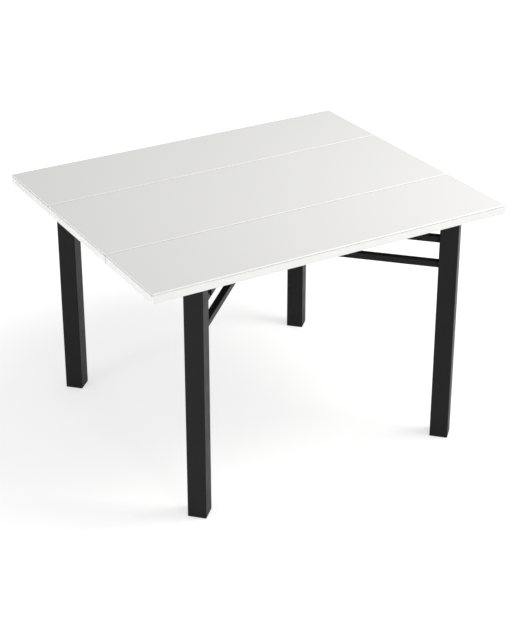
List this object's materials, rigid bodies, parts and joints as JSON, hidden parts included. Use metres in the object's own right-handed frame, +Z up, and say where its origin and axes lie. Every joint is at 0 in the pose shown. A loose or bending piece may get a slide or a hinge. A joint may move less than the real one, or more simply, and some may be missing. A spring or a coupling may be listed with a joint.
{
  "type": "extending table",
  "caption": "Rectangular extending table with a white glass top in strips, a front leaf that draws out on runners, stored insert boards and a cross base of black square-tube legs.",
  "frame": {"origin": "on the floor, under the middle of the closed top", "axes": "+Z up, +X along the seams and the long edges, -Y towards the leaf that draws out"},
  "size_m": [1.15, 0.95, 0.75],
  "materials": {
    "white_glass": "gloss white, glass painted on its back",
    "white_board": "white faced chipboard",
    "insert_board": "white faced chipboard",
    "edge_band": "satin white edge band",
    "powder_coat": "fine black powder coat",
    "black_plastic": "moulded black",
    "aluminium": "drawn, satin",
    "zinc_steel": "zinc plated",
    "bright_steel": "bright turned",
    "beech": "plain beech"
  },
  "bodies": {
    "base": {"back_glass": "white_glass", "cross_rail_over_lower": "powder_coat", "cross_rail_over_upper": "powder_coat", "cross_rail_under_lower": "powder_coat", "cross_rail_under_upper": "powder_coat", "crossing_bolt_lower": "zinc_steel", "crossing_bolt_upper": "zinc_steel", "crossing_nut_lower": "zinc_steel", "crossing_nut_upper": "zinc_steel", "foot_back_left": "black_plastic", "foot_back_right": "black_plastic", "foot_front_left": "black_plastic", "foot_front_right": "black_plastic", "guide_left": "aluminium", "guide_right": "aluminium", "leg_back_left": "powder_coat", "leg_back_right": "powder_coat", "leg_cap_front_left": "black_plastic", "leg_cap_front_right": "black_plastic", "leg_front_left": "powder_coat", "leg_front_right": "powder_coat", "leg_plate_back_left": "powder_coat", "leg_plate_back_right": "powder_coat", "leg_plate_screw_back_left_1": "zinc_steel", "leg_plate_screw_back_left_2": "zinc_steel", "leg_plate_screw_back_left_3": "zinc_steel", "leg_plate_screw_back_left_4": "zinc_steel", "leg_plate_screw_back_right_1": "zinc_steel", "leg_plate_screw_back_right_2": "zinc_steel", "leg_plate_screw_back_right_3": "zinc_steel", "leg_plate_screw_back_right_4": "zinc_steel", "middle_glass": "white_glass", "rear_edge_band": "edge_band", "rear_panel": "white_board", "saddle_back_left": "powder_coat", "saddle_back_right": "powder_coat", "saddle_front_left": "powder_coat", "saddle_front_right": "powder_coat", "saddle_screw_back_left": "zinc_steel", "saddle_screw_back_right": "zinc_steel", "saddle_screw_front_left": "zinc_steel", "saddle_screw_front_right": "zinc_steel", "stop_pin_left": "bright_steel", "stop_pin_right": "bright_steel", "store_rail_left": "powder_coat", "store_rail_right": "powder_coat"},
    "front_leaf": {"leaf_dowel_left": "beech", "leaf_dowel_right": "beech", "leaf_edge_band": "edge_band", "leaf_glass": "white_glass", "leaf_panel": "white_board", "runner_glide_left": "black_plastic", "runner_glide_right": "black_plastic", "runner_left": "aluminium", "runner_right": "aluminium"},
    "upper_insert": {"upper_board": "insert_board", "upper_board_glass": "white_glass"},
    "lower_insert": {"lower_board": "insert_board", "lower_board_glass": "white_glass"}
  },
  "joints": [
    {"name": "front_leaf_slide", "type": "slide", "parent": "base", "child": "front_leaf", "axis": [0, -1, 0], "range_m": [0, 0.39]},
    {"name": "upper_insert_slide", "type": "slide", "parent": "base", "child": "upper_insert", "axis": [0, -1, 0], "range_m": [0, 0.7]},
    {"name": "lower_insert_slide", "type": "slide", "parent": "base", "child": "lower_insert", "axis": [0, -1, 0], "range_m": [0, 0.7]}
  ]
}
